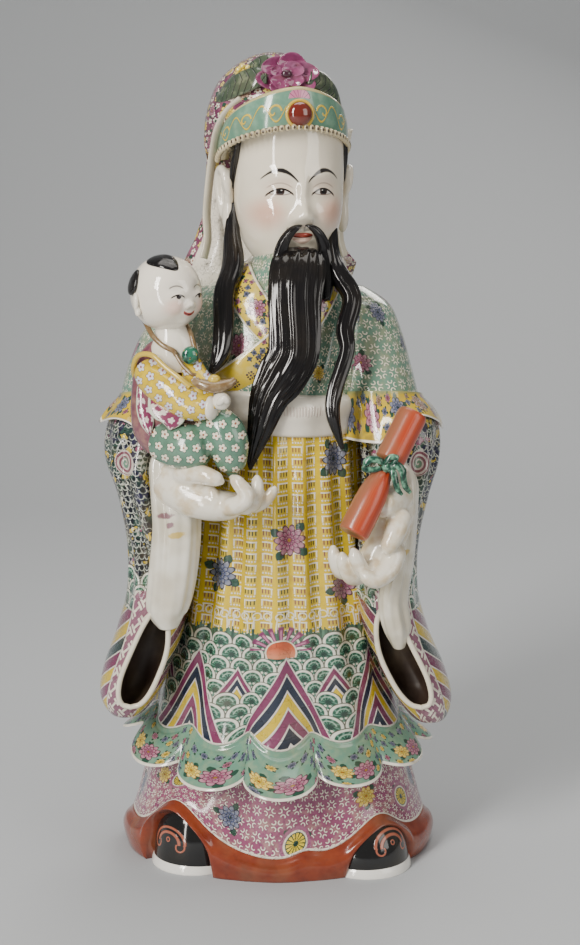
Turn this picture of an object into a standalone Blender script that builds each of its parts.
"""Glazed porcelain figure of a bearded star god in a hat and long robe, who holds a child and a tied scroll.

The figure is slip cast and fired as one piece, so every form below is joined into one solid named statue.
It faces -Y, stands on z = 0, and +X is to the viewer's right. Forms are drawn in figure units, of which
620 make the height, so that at the real height of 620 mm a figure unit is a millimetre.
"""

import math

import bpy
import numpy as np

# Driving sizes, in metres.
HEIGHT = 0.620
HEM_THICKNESS = 0.004
COLLAR_WIDTH = 0.026
COLLAR_THICKNESS = 0.006
BEAD_RADIUS = 0.0027
JEWEL_RADIUS = 0.009
SCROLL_LENGTH = 0.104
SCROLL_RADIUS = 0.0112
RIBBON_RADIUS = 0.0032

UNITS_TALL = 620
UNIT = HEIGHT / UNITS_TALL

# Glaze colours, each (red, green, blue, roughness).
WHITE = (0.83, 0.80, 0.72, 0.15)
YELLOW = (0.80, 0.58, 0.05, 0.20)
GREEN = (0.24, 0.44, 0.34, 0.20)
PINK = (0.42, 0.18, 0.28, 0.20)
NAVY = (0.05, 0.06, 0.10, 0.20)
BLACK = (0.012, 0.012, 0.014, 0.12)
ORANGE = (0.52, 0.12, 0.04, 0.25)
RED = (0.20, 0.02, 0.01, 0.10)

# The robe from its foot to the waist: height, half width, depth to the front and to the back, then how far
# the hem's lobes stand out, how far they hang, its share of the arches' height, its share of the edge's
# lift over the shoes, how far it is set in behind them, and the pleats' depth.
ROBE = (
    (-14, 108, 82, 72, 0.0, 0.0, 1.0, 0.00, 10, 0.0),
    (-7, 118, 90, 79, 0.0, 0.0, 1.0, 0.00, 3, 0.0),
    (9, 125, 95, 84, 0.5, 0.0, 0.5, 0.50, 0, 0.0),
    (18, 124, 95, 84, 0.5, 0.0, 0.2, 0.80, 0, 0.0),
    (27, 117, 89, 79, 0.5, 0.0, 0.0, 1.00, 0, 0.0),
    (50, 109, 84, 75, 1.0, 0.0, 0.0, 0.45, 0, 0.5),
    (73, 103, 81, 72, 1.5, 0.0, 0.0, 0.10, 0, 0.5),
    (98, 100, 81, 72, 2.0, 3.0, 0.0, 0.00, 0, 0.0),
    (92, 107, 91, 81, 5.0, 4.5, 0.0, 0.00, 0, 0.0),
    (84, 114, 101, 89, 8.0, 4.5, 0.0, 0.00, 0, 0.0),
    (82, 117.5, 105.5, 93.5, 9.0, 4.5, 0.0, 0.00, 0, 0.0),
    (88, 114.5, 101, 90, 8.0, 4.5, 0.0, 0.00, 0, 0.0),
    (103, 103, 87, 80, 5.0, 5.0, 0.0, 0.00, 0, 0.0),
    (109, 99.5, 84, 78, 3.5, 4.5, 0.0, 0.00, 0, 0.0),
    (135, 93, 83, 77, 1.5, 1.5, 0.0, 0.00, 0, 0.8),
    (175, 84, 83, 75, 0.5, 0.0, 0.0, 0.00, 0, 1.6),
    (220, 76, 84, 72, 0.0, 0.0, 0.0, 0.00, 0, 2.2),
    (265, 70.5, 84, 68, 0.0, 0.0, 0.0, 0.00, 0, 2.4),
    (310, 67, 82, 65, 0.0, 0.0, 0.0, 0.00, 0, 2.0),
    (340, 65, 77, 62, 0.0, 0.0, 0.0, 0.00, 0, 1.0),
    (352, 60, 70, 56, 0.0, 0.0, 0.0, 0.00, 0, 0.0),
)
ROBE_SHIFT = -3.0
# Rows whose lobes stand out at least this far are the hem's lip.
LIP_WAVE = 8.0
# Where each lobe of the hem stands out most, in degrees round the figure, and how strongly.
LOBES = (
    (-172, 0.9), (-135, 0.9), (-98, 1.0), (-61, 0.9), (-27, 1.05),
    (1, 1.3), (31, 0.8), (62, 0.6), (97, 0.9), (134, 0.9),
)
LOBE_SPREAD = 0.05
PLEATS = 19
# Each shoe's angle round the figure, how far the robe's edge lifts over it and how wide that lift is, the
# arch's height and half width in degrees, and how far the shoe stands further out.
SHOES = ((-41.5, 29, 16, 52, 17.3, 0.0), (41.7, 18, 13, 38, 15.6, 9.0))
SHOE_RADII = (31.0, 33.0, 3.0)
SOLE_RADII = (33.5, 36.0, 13.0)
# The foot's core between the shoes: its half width and half depth, and its height.
CORE = (84.0, 58.0, 24.0)

# The torso from the waist to inside the head: height, half width, depth to the front and to the back,
# and the shift of its middle to the side.
TORSO = (
    (330, 56, 66, 54, -2),
    (345, 62, 75, 60, -3),
    (372, 68, 74, 61, -4),
    (400, 73, 70, 60, -4),
    (424, 72, 61, 57, -3),
    (441, 62, 57, 52, -1),
    (453, 47, 51, 45, 2),
    (463, 33, 47, 36, 4),
    (474, 26, 44, 30, 6),
    (492, 24, 26, 28, 7),
)
SASH = ((340, 62, 72, 58), (343, 68, 79, 62), (352, 70, 82, 64), (361, 70, 81, 64), (370, 69, 77, 62),
    (373, 62, 70, 56))
SASH_SLOPE = -0.06
SASH_SHIFT = -3.0

# The collar's two bands, each as places across and up on the torso's front.
COLLAR_OVER = ((36, 458), (22, 434), (-4, 404), (-50, 372))
COLLAR_UNDER = ((-30, 456), (-24, 440), (-8, 418), (10, 402))

# Arms and sleeves for the viewer's left (-1) and right (+1): rows of x, y, z, half width and half depth,
# with x counted outwards.
UPPER_ARM = {
    -1: ((52, 4, 446, 12, 14), (62, 4, 432, 27, 34), (74, 2, 410, 33, 42), (83, -4, 385, 35, 46),
        (89, -14, 362, 36, 50), (94, -30, 345, 34, 44)),
    1: ((50, 4, 446, 12, 14), (56, 4, 432, 27, 34), (62, 2, 410, 31, 42), (68, -4, 385, 32, 46),
        (76, -14, 362, 34, 50), (82, -30, 345, 33, 44)),
}
# The cuffs' top: height, half width and half depth. Then for each side the rim's middle across and in depth,
# its half width and half depth, and where its arch over the hand is: across and up.
CUFF_TOP = (373.0, 34.0, 50.0)
CUFF = {-1: (98.0, -16.0, 42.0, 58.0, 121.0, 352.0), 1: (82.0, -16.0, 42.0, 58.0, 101.0, 355.0)}
CUFF_ARCH = (26.0, 31.0)
LONG_SLEEVE = {
    -1: ((92, -24, 362, 27, 40), (101, -24, 345, 31, 46), (104, -28, 318, 29, 50), (99, -32, 290, 25, 52),
        (93, -35, 255, 24, 52), (94, -37, 220, 24, 52),
         (101, -40, 186, 26, 50), (111, -42, 158, 26, 47), (117, -43, 138, 23, 41),
             (119, -44, 125, 15, 30), (119, -44, 121, 7, 16)),
    1: ((80, -24, 362, 27, 40), (88, -24, 345, 31, 46), (90, -28, 318, 29, 50), (86, -32, 290, 25, 52),
        (81, -35, 255, 23, 52), (80, -37, 220, 24, 52),
        (88, -40, 186, 25, 50), (100, -42, 158, 25, 47), (109, -43, 136, 22, 41), (113, -44, 121, 15, 30),
            (113, -44, 117, 7, 16)),
}
INNER_SLEEVE = {
    -1: ((80, -76, 332, 10, 8), (80, -82, 322, 17, 14), (78, -86, 300, 18, 15), (77, -87, 276, 17.5, 15),
        (79, -87, 250, 17.5, 15), (82, -86, 228, 17, 14.5),
         (85, -84, 212, 15, 13), (84, -83, 199, 8, 9)),
    1: ((84, -76, 318, 8, 8), (88, -84, 308, 12, 13), (90, -88, 290, 10, 14), (90, -88, 270, 9, 14),
        (88, -88, 250, 9.5, 14), (83, -87, 222, 11, 14),
        (86, -85, 200, 10.5, 13), (88, -83, 184, 5, 8)),
}
# The sleeve's mouth: its top and bottom heights, its widest half width, and how deep the pocket goes.
MOUTH_TOP = 214.0
MOUTH_BOTTOM = 136.0
MOUTH_HALF_WIDTH = 12.5
MOUTH_DEPTH = 30.0
MOUTH_SHIFT = -4.0

# The head, which turns to the viewer's right.
HEAD_TURN = math.radians(15)
HEAD_PLACE = (5.0, -8.0, 512.0)
# The head's rows: height, half width, depth to the front and to the back.
HEAD = (
    (459, 8, 20, 4),
    (463, 20, 30, 14),
    (471, 29, 35, 26),
    (483, 36, 39, 36),
    (498, 40, 42, 44),
    (515, 41.5, 43, 48),
    (535, 42, 43, 49),
    (556, 41.5, 43, 48),
    (572, 39, 42, 45),
    (586, 31, 35, 37),
    (594, 12, 14, 15),
)
# What stands out of the face, or sinks in where it is negative: across, up, its half width and half height,
# and how far. They follow the plain rule of thirds for a face.
FACE = (
    (0, 12, 4.5, 12, 3.5),
    (0, -8, 5.0, 8, 8.0),
    (0, -24, 9.0, 2.4, 2.8),
    (0, -29, 7.0, 2.6, 3.0),
    (0, -43, 12.0, 8.0, 3.5),
    (17, 12, 9.5, 5.5, -2.8),
    (-17, 12, 9.5, 5.5, -2.8),
    (22, -10, 12.0, 12.0, 2.0),
    (-22, -10, 12.0, 12.0, 2.0),
    (6, -10, 3.2, 3.4, 2.6),
    (-6, -10, 3.2, 3.4, 2.6),
)
HAT = (
    (530, -6, 47, -20, 50),
    (540, -6, 50, -10, 54),
    (553, -6, 52.5, 10, 56),
    (568, -5.5, 52.5, 40, 56),
    (580, -5, 50.5, 52, 54),
    (597, -5.5, 43, 46, 47),
    (609, -6, 31, 33, 35),
    (617, -6, 17, 18, 20),
    (620, -6, 6, 6, 8),
)
HAT_DEPTH = 4.0
# The hat's band: its half angle round the head, and its height and radii at the front and at the ends.
BAND_REACH = math.radians(104)
BAND_PLACE = (1.0, -3.0, 0.0)
BAND_LOW = (565.0, 541.0)
BAND_HIGH = (592.0, 557.0)
BAND_RADII = (48.5, 58.0)
BAND_DEPTH = 5.0
BEAD_ROWS = 15
# How far up the band the jewel sits.
JEWEL_SHARE = 0.3
PEONY = (6.0, -44.0, 602.0)
PEONY_SIZE = (20.0, 11.0, 13.0)

BEARD = (
    (14, -44, 474, 12, 4),
    (13.5, -52, 471, 17.5, 6.5),
    (12, -61, 460, 19.5, 8),
    (10, -70, 440, 18.8, 8.5),
    (10, -76, 415, 18.5, 8.5),
    (8, -79, 400, 18, 8),
    (0, -82, 385.6, 17.5, 8),
    (-8.5, -84, 371, 14, 8),
    (-15, -86, 349, 9.5, 7),
    (-21, -86, 327, 4, 4),
    (-22.5, -85, 318, 1, 1),
)
BEARD_GROOVES = 7
# One side of the moustache on a head that faces the front: rows of x, y, z and radius.
MOUSTACHE = ((2, -42, 493, 3), (8, -43, 491, 4), (13, -41, 483, 5), (15, -40, 470, 6.5), (15, -46, 456, 6),
    (14, -54, 446, 4))
LOCKS = {
    -1: ((-36.5, -14, 508, 3, 3), (-37, -22, 488, 5.5, 4.5), (-36, -38, 464, 8, 6), (-42, -54, 444, 8, 6),
        (-42, -68, 420, 8, 6), (-44, -76, 402, 7, 6), (-51, -82, 389, 2, 2)),
    1: ((38, -22, 490, 4, 4), (38, -32, 474, 5, 5), (41, -46, 460, 7, 6), (52, -54, 441, 7, 6),
        (47, -65, 419, 7, 5), (48, -72, 403, 6, 5), (39, -80, 374, 6, 5),
        (38, -84, 357, 5, 5), (45, -84, 333, 1.5, 1.5)),
}
VEIL = ((-6, 40, 590, 34, 9), (-6, 44, 562, 50, 14), (-8, 42, 530, 51, 16), (-9, 40, 500, 52, 16),
    (-10, 40, 478, 58, 15), (-10, 42, 458, 68, 15), (-8, 44, 442, 64, 11), (-6, 46, 430, 50, 7))

# The hands' fingers and palms: rows of x, y, z and radius.
HAND_LEFT = (
    ((-86.6, -84, 311.5, 15), (-69.8, -98, 301.6, 14), (-47.6, -108, 296.2, 12), (-27.3, -108, 296.6, 9)),
    ((-82.8, -86, 316.3, 11), (-67.2, -102, 317.8, 9.5), (-58.3, -108, 314.5, 8)),
    ((-76, -100, 316.7, 8), (-59.3, -114, 320.1, 7.2), (-48.4, -120, 318.3, 6), (-41.9, -121, 315.6, 4.4)),
    ((-42.3, -114, 295.2, 8), (-29.2, -121, 299.6, 6.5), (-24.1, -123, 305.8, 5.8),
        (-29.8, -121, 314.1, 5.2), (-34.9, -118, 318.6, 4.2)),
    ((-55.3, -108, 297, 7), (-47.9, -114, 301.2, 5), (-50, -112, 306.6, 4.5), (-54.5, -108, 308.7, 4)),
    ((-29.6, -106, 293.6, 7), (-19.4, -112, 298.5, 5.5), (-17.2, -113, 308.2, 5),
        (-17.2, -111, 317.3, 4.2)),
    ((-22.5, -100, 293.1, 6), (-13.7, -106, 297.3, 5), (-7.9, -108, 303.5, 4.5), (-4.3, -108, 308.7, 3.6)),
)
HAND_RIGHT = (
    ((87.1, -86, 300, 13), (83.9, -94, 285.9, 14), (75, -100, 264.8, 14), (63.2, -104, 250.5, 11),
        (51.6, -104, 246, 8)),
    ((87.6, -104, 290.2, 9), (82, -116, 277.3, 8), (75.3, -122, 265.4, 6)),
    ((83.9, -108, 266.3, 9), (78.4, -119, 252.4, 8), (67.4, -127, 245.3, 6.5), (57.9, -130, 251.2, 4.8)),
    ((71.6, -110, 252, 8), (61.2, -119, 248.7, 6), (55.2, -124, 257.8, 5.5), (51.6, -124, 266.6, 4.5)),
    ((63.2, -106, 245.8, 7), (51.3, -115, 243.8, 5.6), (46.1, -118, 252.7, 5.2), (43.9, -118, 262.3, 4.3)),
    ((56.1, -100, 247.3, 7), (43.6, -108, 246.5, 5.4), (39.1, -111, 256.2, 5), (37.6, -111, 265.8, 4)),
    ((88, -92, 300, 12), (79, -106, 299, 11.5), (69, -116, 299, 11)),
)
SCROLL_MIDDLE = (73.4, -113.5, 320.7)
SCROLL_LINE = (0.447, 0.353, 0.822)
KNOT_SHARE = 0.565

# The child, which sits on the hand at the viewer's left.
CHILD_HEAD = (-82.7, -84.0, 446.9)
CHILD_HEAD_RADIUS = 26.0
CHILD_BODY = ((-86, -81, 332, 14, 12), (-86.4, -82, 342.4, 20, 18), (-87.8, -81, 357.6, 22, 19),
    (-86.9, -80, 375.9, 22, 18), (-84.4, -80, 392, 22, 17), (-82, -80, 402, 18, 14),
              (-79, -81, 410, 11, 10), (-78, -82, 416, 7, 7))
CHILD_ARMS = (
    ((-97, -86, 393, 10.5), (-91, -97, 386, 12.5), (-77, -106, 377, 13), (-62, -113, 369, 11),
        (-48, -118.5, 370, 8)),
    ((-66, -88, 398, 8), (-61, -98, 389, 9), (-52, -108, 380, 8), (-46, -114, 375, 6)),
)
CHILD_LEGS = (
    ((-87.8, -90, 341.1, 15), (-74.1, -102, 338.7, 17), (-60.8, -108, 338.2, 16), (-52.5, -110, 339.3, 11)),
    ((-57, -90, 344, 14), (-45.1, -100, 349, 16), (-38.2, -108, 345.5, 14.5), (-36.2, -108, 332.4, 13),
        (-35, -107, 320.6, 9)),
)
CHILD_FIST = (-42.0, -119.5, 373.5, 6.5)
CHILD_NECK = ((-76, -84, 402, 10, 8), (-78, -85, 416, 9, 9), (-80, -84, 430, 9, 9))
CHILD_TURN = math.radians(43)
INGOT = ((-62, -119, 389, 1.5, 2), (-56, -119, 386, 4.5, 4), (-47, -119, 384, 7, 5),
    (-38, -119, 386, 4.5, 4), (-32, -119, 389, 1.5, 2))


def through(stops, t):
    """The rows of stops at t, from 0 to 1, on a smooth curve that passes through each row."""
    stops = np.asarray(stops, float)
    last = len(stops) - 1
    place = np.clip(np.asarray(t, float) * last, 0, last)
    start = np.minimum(place.astype(int), last - 1)
    share = (place - start)[..., None]
    before = stops[np.maximum(start - 1, 0)]
    here = stops[start]
    there = stops[start + 1]
    after = stops[np.minimum(start + 2, last)]
    square = 2 * before - 5 * here + 4 * there - after
    cube = 3 * here - before - 3 * there + after
    return 0.5 * (2 * here + (there - before) * share + square * share**2 + cube * share**3)


def angles(columns):
    """Angles of the points of a ring, from -180 to 180 degrees, with 0 at the front."""
    return (np.arange(columns) / columns * 2 - 1) * math.pi


def unit(vectors):
    return vectors / np.maximum(np.linalg.norm(vectors, axis=-1, keepdims=True), 1e-9)


def rings_of(x, y, z):
    return np.stack(np.broadcast_arrays(x, y, z), axis=-1)


def oval(angle, half_width, front, back):
    """A ring's points across and in depth, for an oval that is deeper on one side."""
    depth = np.where(np.cos(angle) > 0, front, back)
    return half_width * np.sin(angle), -depth * np.cos(angle)


def bump(distance):
    return np.exp(-(distance**2))


def tube(stops, rows, columns, side=(1, 0, 0), grooves=0, groove_depth=0.0):
    """Rings along a path of x, y, z, half width and half depth; the width lies along side."""
    t = np.linspace(0, 1, rows)
    path = through(stops, t)
    middle = path[:, :3]
    along = unit(np.gradient(middle, axis=0))
    side = np.broadcast_to(np.asarray(side, float), along.shape)
    across = unit(side - (side * along).sum(1, keepdims=True) * along)
    deep = np.cross(along, across)
    angle = angles(columns)[None, :, None]
    ridge = 1 + groove_depth * np.cos(2 * grooves * angle)
    width = path[:, None, 3:4] * ridge
    depth = path[:, None, 4:5] * ridge
    return middle[:, None] + across[:, None] * width * np.sin(angle) + deep[:, None] * depth * np.cos(angle)


def round_tube(stops, rows, columns):
    """A finger or limb: rings along a path of x, y, z and radius, with rounded ends."""
    stops = [(x, y, z, radius, radius) for x, y, z, radius in stops]
    rings = tube(stops, rows, columns, side=(0.3, 0.2, 1))
    middles = rings.mean(axis=1, keepdims=True)
    rings[0] = middles[0] + (rings[0] - middles[0]) * 0.62
    rings[-1] = middles[-1] + (rings[-1] - middles[-1]) * 0.62
    return rings


def ball(middle, radii, rows, columns, turn=0.0, blunt=1.0):
    """Rings of an ellipsoid with its poles up and down, turned upright, boxier with a low blunt."""
    rise = np.linspace(-0.5, 0.5, rows + 2)[1:-1, None] * math.pi
    angle = angles(columns)[None, :]
    reach = np.cos(rise) ** blunt
    x = radii[0] * reach * np.sin(angle)
    y = -radii[1] * reach * np.cos(angle)
    z = radii[2] * np.sin(rise)
    return turned(rings_of(x, y, z), turn) + np.asarray(middle, float)


def turned(points, turn):
    """Points turned about the vertical through the origin."""
    x, y, z = points[..., 0], points[..., 1], points[..., 2]
    return rings_of(x * math.cos(turn) - y * math.sin(turn), x * math.sin(turn) + y * math.cos(turn), z)


def on_head(points):
    """Points drawn about a head that faces the front, placed on the turned head."""
    shifted = points - np.array((0, 0, HEAD_PLACE[2]))
    return turned(shifted, HEAD_TURN) + np.array(HEAD_PLACE)


def glaze(name, colour):
    """A glazed enamel of one colour, made once."""
    material = bpy.data.materials.get(name)
    if material is None:
        material = bpy.data.materials.new(name)
        material.use_nodes = True
        shader = material.node_tree.nodes["Principled BSDF"]
        shader.inputs["Base Color"].default_value = (*colour[:3], 1)
        shader.inputs["Roughness"].default_value = colour[3]
        shader.inputs["Metallic"].default_value = 0.0
        shader.inputs["Coat Weight"].default_value = 0.4
        material.diffuse_color = (*colour[:3], 1)
    return material


def form(name, rings, material):
    """A closed mesh object from rings of points, with each end closed by a fan of faces."""
    rows, columns = rings.shape[:2]
    poles = np.stack([rings[0].mean(axis=0), rings[-1].mean(axis=0)])
    points = np.concatenate([rings.reshape(-1, 3), poles]) * UNIT
    low_pole = rows * columns
    faces = []
    for row in range(rows - 1):
        for column in range(columns):
            after = (column + 1) % columns
            corners = (row * columns + column, row * columns + after, (row + 1) * columns + after)
            faces.append((*corners, (row + 1) * columns + column))
    for column in range(columns):
        after = (column + 1) % columns
        faces.append((low_pole, after, column))
        faces.append((low_pole + 1, (rows - 1) * columns + column, (rows - 1) * columns + after))
    mesh = bpy.data.meshes.new(name)
    mesh.from_pydata(points.tolist(), [], faces)
    if signed_volume(mesh) < 0:
        mesh.flip_normals()
    mesh.materials.append(material)
    made = bpy.data.objects.new(name, mesh)
    bpy.context.scene.collection.objects.link(made)
    return made


def signed_volume(mesh):
    """Six times the volume inside a closed mesh, negative where its faces point inwards."""
    mesh.calc_loop_triangles()
    corners = [[mesh.vertices[i].co for i in triangle.vertices] for triangle in mesh.loop_triangles]
    return sum(a.dot(b.cross(c)) for a, b, c in corners)


def hem_lift(angle):
    """How far the robe's foot line rises over the shoes, and how it waves between and behind them."""
    lift = sum(rise * bump((angle - math.radians(middle)) / math.radians(reach)) for middle, rise, reach,
        *_ in SHOES)
    front = 5 * bump((angle - math.radians(10)) / math.radians(6))
    front -= 10 * bump((angle - math.radians(2)) / math.radians(24))
    behind = 4 * np.cos(5 * angle) * (np.abs(angle) > math.radians(80))
    return lift + front + behind * np.sin(np.abs(angle) - math.radians(80))


def arches(angle):
    """The openings in the robe's foot for the shoes: their height, and where they are, from 0 to 1."""
    share = [np.clip(1 - ((angle - math.radians(row[0])) / math.radians(row[4])) ** 2, 0,
        1) for row in SHOES]
    return sum(row[3] * np.sqrt(part) for row, part in zip(SHOES, share)), sum(share)


def lobe_phase(angle):
    """The phase of the hem's lobes, 0 at each crest, and how strong each of them is."""
    crests = np.radians([lobe[0] for lobe in LOBES])
    strength = np.array([lobe[1] for lobe in LOBES])
    round_on = np.concatenate([crests - 2 * math.pi, crests, crests + 2 * math.pi])
    phase = 2 * math.pi * np.interp(angle, round_on, np.arange(len(round_on)))
    return phase, np.interp(angle, round_on, np.tile(strength, 3))


def robe(columns):
    """The skirt, the ruffled hem that stands out over it, the under-robe and the foot, in one form."""
    stops = np.array(ROBE, float)
    lip = stops[:, 4] >= LIP_WAVE
    middle = stops[lip, 0].mean()
    stops[lip, 0] = middle + (stops[lip, 0] - middle) * HEM_THICKNESS / UNIT / 4
    z, width, front, back, wave, hang, arch, lift, inset, pleat = (stops[:, k : k + 1] for k in range(10))
    angle = angles(columns)[None, :]
    phase, strength = lobe_phase(angle)
    crest = np.cos(phase) * strength
    turn = angle + LOBE_SPREAD * np.sin(phase) * strength * wave / 9
    opening, near = arches(angle)
    out = wave * crest + pleat * np.cos(PLEATS * angle + 2 * np.sin(2 * angle)) - inset * near
    x, y = oval(turn, width + out, front + out, back + out)
    aside = 15 * bump((angle + 1.5) / 0.45) + 4 * bump((angle - 1.4) / 0.45) - 2 * bump(angle / 0.2)
    return rings_of(x + ROBE_SHIFT, y,
        z - hang * crest + arch * opening + lift * hem_lift(angle) + aside * wave / 9)


def torso(columns):
    stops = np.array(TORSO, float)
    angle = angles(columns)[None, :]
    x, y = oval(angle, stops[:, 1:2], stops[:, 2:3], stops[:, 3:4])
    return rings_of(x + stops[:, 4:5], y, stops[:, :1])


def torso_front(x, z):
    """Depth of the torso's front surface at a place across and up."""
    heights = np.array([row[0] for row in TORSO], float)
    width, front, shift = (np.interp(z, heights, [row[k] for row in TORSO]) for k in (1, 2, 4))
    return -front * np.sqrt(np.clip(1 - ((x - shift) / width) ** 2, 0, 1))


def sash(columns):
    """The waist's band of soft folds, lower at the viewer's right."""
    stops = np.array(SASH, float)
    angle = angles(columns)[None, :]
    x, y = oval(angle, stops[:, 1:2], stops[:, 2:3], stops[:, 3:4])
    return rings_of(x + SASH_SHIFT, y, stops[:, :1] + SASH_SLOPE * x)


def mirrored(stops, hand):
    """Rows whose x is counted outwards, on one side of the figure."""
    return [(hand * row[0], *row[1:]) for row in stops]


def level_rings(stops, columns, bluntness=1.0):
    """Level rings about x, y, z with a half width and half depth, boxier where bluntness is under 1."""
    stops = np.array(stops, float)
    angle = angles(columns)[None, :]
    sine = np.sin(angle)
    x = stops[:, :1] + stops[:, 3:4] * np.sign(sine) * np.abs(sine) ** bluntness
    y = stops[:, 1:2] - stops[:, 4:5] * np.cos(angle)
    return rings_of(x, y, stops[:, 2:3])


def long_sleeve(hand, rows, columns):
    """A hanging sleeve with the pocket of its mouth sunk into the front."""
    stops = through(mirrored(LONG_SLEEVE[hand], hand), np.linspace(0, 1, rows))
    rings = level_rings(stops, columns, 0.85)
    middle, height = stops[:, :1], stops[:, 2:3]
    up = (height - MOUTH_BOTTOM) / (MOUTH_TOP - MOUTH_BOTTOM)
    lens = MOUTH_HALF_WIDTH * np.sqrt(np.clip(4 * up * (1 - up), 0, 1))
    aside = np.abs(rings[..., 0] - middle - hand * MOUTH_SHIFT)
    inside = (aside < lens) & (rings[..., 1] < stops[:, 1:2])
    rings[..., 1] += np.where(inside, MOUTH_DEPTH, 0.0)
    return rings


def head(rows, columns):
    """The head with its brow, eyes' hollows, nose, lips, cheeks and chin."""
    stops = through(HEAD, np.linspace(0, 1, rows))
    angle = angles(columns)[None, :]
    x, y = oval(angle, stops[:, 1:2], stops[:, 2:3], stops[:, 3:4])
    z = stops[:, :1] + 0 * x
    for across, up, half_width, half_height, out in FACE:
        here = bump((x - across) / half_width) * bump((z - HEAD_PLACE[2] - up) / half_height)
        y = y - out * here * (np.cos(angle) > 0)
    return on_head(rings_of(x, y, z))


def cuff(hand, columns):
    """A turned-back cuff that arches over the hand, solid inside but for its lip."""
    middle_x, middle_y, half, deep, arch_x, arch_z = CUFF[hand]
    top_z, top_half, top_deep = CUFF_TOP
    rise, reach = CUFF_ARCH
    angle = angles(columns)[None, :]
    share = np.array([0.0, 0.35, 0.7, 1.0, 0.95, 0.85])[:, None]
    inner = np.array([0, 0, 0, 0, 1, 1])[:, None]
    flare = share**1.6
    x = hand * middle_x + (top_half + (half - top_half) * flare - 2.6 * inner) * np.sin(angle)
    y = middle_y + 4 * (1 - share) - (top_deep + (deep - top_deep) * flare - 2.6 * inner) * np.cos(angle)
    rim = arch_z - np.minimum(rise * ((x - hand * arch_x) / reach) ** 2, rise + 1)
    top = top_z - 3 * (1 - np.cos(angle))
    return rings_of(x, y, top + (rim - top) * share)


def hat(columns):
    stops = np.array(HAT, float)
    angle = angles(columns)[None, :]
    x, y = oval(angle, stops[:, 2:3], stops[:, 3:4], stops[:, 4:5])
    return rings_of(x + stops[:, 1:2], y + HAT_DEPTH, stops[:, :1])


def band_line(turn, heights, grow=0.0):
    """Points on the hat's band at angles round the head, at heights given for the front and the ends."""
    share = (np.abs(turn) / BAND_REACH) ** 1.6
    z = heights[0] + (heights[1] - heights[0]) * share
    x = (BAND_RADII[0] + grow) * np.sin(turn + HEAD_TURN)
    y = -(BAND_RADII[1] + grow) * np.cos(turn + HEAD_TURN)
    return rings_of(x, y, z) + np.array(BAND_PLACE)


def band(rows):
    """The stiff band round the front of the hat, as rings along its length."""
    turn = np.linspace(-1, 1, rows) * BAND_REACH
    low_out = band_line(turn, BAND_LOW)
    high_out = band_line(turn, BAND_HIGH, -1.5)
    high_in = band_line(turn, BAND_HIGH, -1.5 - BAND_DEPTH * 1.6)
    low_in = band_line(turn, BAND_LOW, -BAND_DEPTH * 1.6)
    middle = (low_out + high_out) / 2 + unit((low_out + high_out - low_in - high_in) * (1, 1, 0)) * 1.0
    return np.stack([low_out, middle, high_out, high_in, low_in], axis=1)


def bead_string():
    """The string of small beads along the band's lower edge, as one round moulding."""
    turn = np.linspace(-0.99, 0.99, BEAD_ROWS) * BAND_REACH
    radius = BEAD_RADIUS / UNIT
    return tube([(*place, radius, radius) for place in band_line(turn, BAND_LOW, 0.6)], BEAD_ROWS, 6,
        side=(0, 0, 1))


def ribbon(name, stops, width, thick, material, rows=9):
    """A flat raised strip that follows the torso's front between places across and up."""
    line = through(stops, np.linspace(0, 1, 12))
    path = [(x, torso_front(x, z) - 0.5, z, width / 2, thick / 2) for x, z in line]
    slope = np.array(stops[-1]) - np.array(stops[0])
    side = (slope[1], 0, -slope[0])
    return form(name, tube(path, rows, 6, side=side), material)


def peony(material):
    """An open bloom of ruffled petals laid round a boss, on the front of the hat."""
    made = []
    middle, size = np.array(PEONY), np.array(PEONY_SIZE)
    for ring, (share, count, lean) in enumerate(((0.68, 7, 0.0), (0.33, 5, 0.5))):
        for k in range(count):
            turn = 2 * math.pi * (k + lean) / count
            place = middle + size * (share * math.cos(turn), -0.35 * ring, share * math.sin(turn))
            radii = size * (0.40, 0.60, 0.42) * (1 - 0.2 * ring)
            made.append(form(f"petal_{ring}_{k}", ball(place, radii, 2, 6, HEAD_TURN), material))
    return made


def scroll_line():
    """The scroll's axis, from its lower end to its upper end, in figure units."""
    line = np.array(SCROLL_LINE) / np.linalg.norm(SCROLL_LINE)
    half = SCROLL_LENGTH / UNIT / 2
    return np.array(SCROLL_MIDDLE) - line * half, np.array(SCROLL_MIDDLE) + line * half


def scroll():
    """The scroll in its wrapper: a bag drawn in under the tie, and the roll above it."""
    low, high = scroll_line()
    radius = SCROLL_RADIUS / UNIT
    profile = ((0.0, 0.85), (0.02, 1.0), (0.26, 0.98), (0.44, 0.74), (0.56, 0.36), (0.59, 0.7),
        (0.62, 0.97), (0.98, 0.97), (1.0, 0.72))
    rings = []
    line = unit(high - low)
    across = unit(np.cross(line, (0, 1, 0)))
    deep = np.cross(line, across)
    angle = angles(12)[:, None]
    for share, size in profile:
        rings.append(low + (high - low) * share + radius * size
            * (across * np.sin(angle) + deep * np.cos(angle)))
    return np.stack(rings)


def bow():
    """The tie's knot, its two loops and its two tails, each as a path of x, y, z and radius."""
    low, high = scroll_line()
    knot = low + (high - low) * KNOT_SHARE + np.array((0, -0.7, 0)) * SCROLL_RADIUS / UNIT
    thin = RIBBON_RADIUS / UNIT
    ends = (
        ((-5, -2, 2), (-13, -3, 3), (-19, -2, -2)),
        ((-5, -1, -2), (-10, -1, -7), (-17, 2, -9)),
        ((5, -1, -1), (11, -2, -8), (15, -1, -21)),
        ((3, -1, -3), (6, -3, -11), (7, -3, -19)),
    )
    return knot, [[(*knot, thin)] + [(*(knot + step), thin) for step in path] for path in ends]


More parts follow.
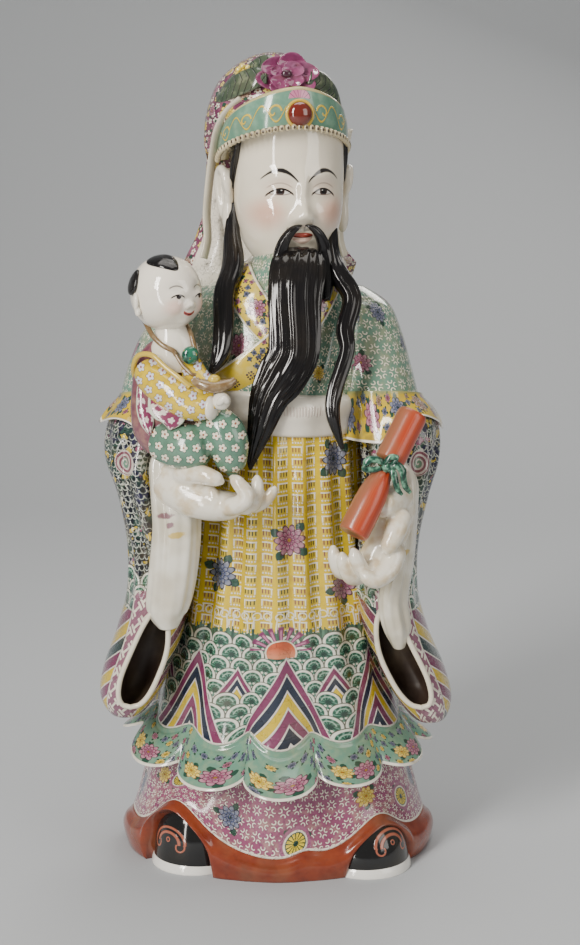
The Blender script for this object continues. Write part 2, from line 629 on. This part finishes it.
def shoe(number):
    """A high-toed shoe that looks out of the arch in the robe's edge, and its sole."""
    middle, _, _, top, _, out = SHOES[number]
    turn = math.radians(middle)
    outward = np.array((math.sin(turn), -math.cos(turn), 0))
    place = np.array((ROBE_SHIFT + 124 * math.sin(turn), -95 * math.cos(turn), 0)) + (out - 33) * outward
    wide, long, over = SHOE_RADII
    return ball(place, (wide, long, top + over), 7, 12, turn, 0.6), ball(place, SOLE_RADII, 4, 12, turn,
        0.35)


def build_robes():
    made = [form("robe", robe(56), glaze("yellow_robe", YELLOW))]
    wide, deep, tall = CORE
    core = [(ROBE_SHIFT, 0, -10, wide, deep), (ROBE_SHIFT, 0, tall, wide, deep)]
    made.append(form("foot_core", level_rings(core, 12), glaze("white_glaze", WHITE)))
    made.append(form("torso", torso(20), glaze("green_robe", GREEN)))
    made.append(form("sash", sash(18), glaze("white_glaze", WHITE)))
    for hand in (-1, 1):
        made.append(form(f"arm_{hand}", level_rings(mirrored(UPPER_ARM[hand], hand), 14),
            glaze("green_robe", GREEN)))
        made.append(form(f"cuff_{hand}", cuff(hand, 14), glaze("yellow_robe", YELLOW)))
        made.append(form(f"long_sleeve_{hand}", long_sleeve(hand, 12, 18), glaze("navy_sleeve", NAVY)))
        made.append(form(f"inner_sleeve_{hand}", tube(mirrored(INNER_SLEEVE[hand], hand), 7, 8),
            glaze("white_glaze", WHITE)))
        upper, sole = shoe((hand + 1) // 2)
        made.append(form(f"shoe_{hand}", upper, glaze("black_glaze", BLACK)))
        made.append(form(f"sole_{hand}", sole, glaze("white_glaze", WHITE)))
    width, thick = COLLAR_WIDTH / UNIT, COLLAR_THICKNESS / UNIT
    yellow = glaze("yellow_robe", YELLOW)
    made.append(ribbon("collar_over", COLLAR_OVER, width, thick, yellow))
    made.append(ribbon("collar_under", COLLAR_UNDER, width, thick, yellow, 7))
    return made


def build_head():
    white, black = glaze("white_glaze", WHITE), glaze("black_glaze", BLACK)
    made = [form("head", head(13, 16), white)]
    made.append(form("hat", hat(16), glaze("pink_enamel", PINK)))
    made.append(form("band", band(15), glaze("green_robe", GREEN)))
    made.append(form("veil", tube(VEIL, 8, 12), glaze("pink_enamel", PINK)))
    made.append(form("beads", bead_string(), white))
    height = BAND_LOW[0] + JEWEL_SHARE * (BAND_HIGH[0] - BAND_LOW[0])
    jewel = band_line(np.array(0.0), (height, height), 0.0)
    size = JEWEL_RADIUS / UNIT
    made.append(form("jewel", ball(jewel, (size, size * 0.55, size), 3, 10, HEAD_TURN),
        glaze("red_glaze", RED)))
    made += peony(glaze("pink_enamel", PINK))
    for hand in (-1, 1):
        made.append(form(f"ear_{hand}", ball(on_head(np.array((hand * 42, 8, 521))),
            (5, 9, 14), 5, 8, HEAD_TURN), white))
        made.append(form(f"lobe_{hand}", ball(on_head(np.array((hand * 41, 5, 499))),
            (4, 6, 14), 5, 8, HEAD_TURN), white))
        made.append(form(f"lock_{hand}", tube(LOCKS[hand], 9, 5), black))
        path = [(*on_head(np.array((hand * x, y, z))), radius) for x, y, z, radius in MOUSTACHE]
        made.append(form(f"moustache_{hand}", round_tube(path, 6, 6), black))
    made.append(form("beard", tube(BEARD, 10, 10, grooves=BEARD_GROOVES, groove_depth=0.035), black))
    return made


def build_hands():
    white = glaze("white_glaze", WHITE)
    made = []
    for side, hand in (("left", HAND_LEFT), ("right", HAND_RIGHT)):
        for number, path in enumerate(hand):
            made.append(form(f"{side}_finger_{number}", round_tube(path, 5, 5), white))
    made.append(form("scroll", scroll(), glaze("orange_enamel", ORANGE)))
    knot, paths = bow()
    ribbon_green = glaze("ribbon_green", GREEN)
    made.append(form("knot", ball(knot, (5, 5, 5), 4, 7), ribbon_green))
    for number, path in enumerate(paths):
        made.append(form(f"bow_{number}", round_tube(path, 5, 5), ribbon_green))
    return made


def build_child():
    white, yellow = glaze("white_glaze", WHITE), glaze("yellow_robe", YELLOW)
    green, pink, black = glaze("green_robe", GREEN), glaze("pink_enamel", PINK), glaze("black_glaze", BLACK)
    radius = CHILD_HEAD_RADIUS
    turn = CHILD_TURN
    made = [form("child_head", ball(CHILD_HEAD, (radius, radius * 1.04, radius), 6, 10, turn), white)]
    made.append(form("child_nose",
        ball(np.array(CHILD_HEAD) + turned(np.array((0, -radius * 1.04, -5.0)), turn),
        (3, 3, 3), 3, 6), white))
    for hand in (-1, 1):
        ear = np.array(CHILD_HEAD) + turned(np.array((hand * radius * 0.97, 3.0, -6.0)), turn)
        made.append(form(f"child_ear_{hand}", ball(ear, (3, 5, 6.5), 3, 5, turn), white))
    made.append(form("child_body", tube(CHILD_BODY, 7, 12), pink))
    made.append(form("child_neck", tube(CHILD_NECK, 3, 8), white))
    for number, path in enumerate(CHILD_ARMS):
        made.append(form(f"child_arm_{number}", round_tube(path, 5, 6), yellow))
    for number, path in enumerate(CHILD_LEGS):
        made.append(form(f"child_leg_{number}", round_tube(path, 5, 7), green))
    made.append(form("child_fist", ball(CHILD_FIST[:3], (CHILD_FIST[3],) * 3, 3, 6), white))
    made.append(form("child_hair", ball(np.array(CHILD_HEAD) + (2, -3, 20), (13, 10, 7.5), 3, 7, turn),
        black))
    made.append(form("ingot", tube(INGOT, 6, 8, side=(0, 1, 0)), glaze("ingot_gold", YELLOW)))
    return made


def join(forms):
    """One solid made of all the forms, cut flat where it stands."""
    statue = forms[0]
    statue.name = "statue"
    others = bpy.data.collections.new("joined forms")
    bpy.context.scene.collection.children.link(others)
    for piece in forms[1:]:
        bpy.context.scene.collection.objects.unlink(piece)
        others.objects.link(piece)
        piece.hide_render = True
        piece.display_type = "WIRE"
    union = statue.modifiers.new("one firing", "BOOLEAN")
    union.operation = "UNION"
    union.operand_type = "COLLECTION"
    union.collection = others
    union.solver = "EXACT"
    union.material_mode = "TRANSFER"
    ground = form("ground", level_rings([(0, 0, -90, 400, 400), (0, 0, 0, 400, 400)], 4),
        glaze("white_glaze", WHITE))
    ground.hide_render = True
    ground.display_type = "WIRE"
    cut = statue.modifiers.new("flat foot", "BOOLEAN")
    cut.operation = "DIFFERENCE"
    cut.object = ground
    cut.solver = "EXACT"
    return statue


def main():
    for old in list(bpy.data.objects):
        bpy.data.objects.remove(old)
    forms = build_robes() + build_head() + build_hands() + build_child()
    join(forms)


main()
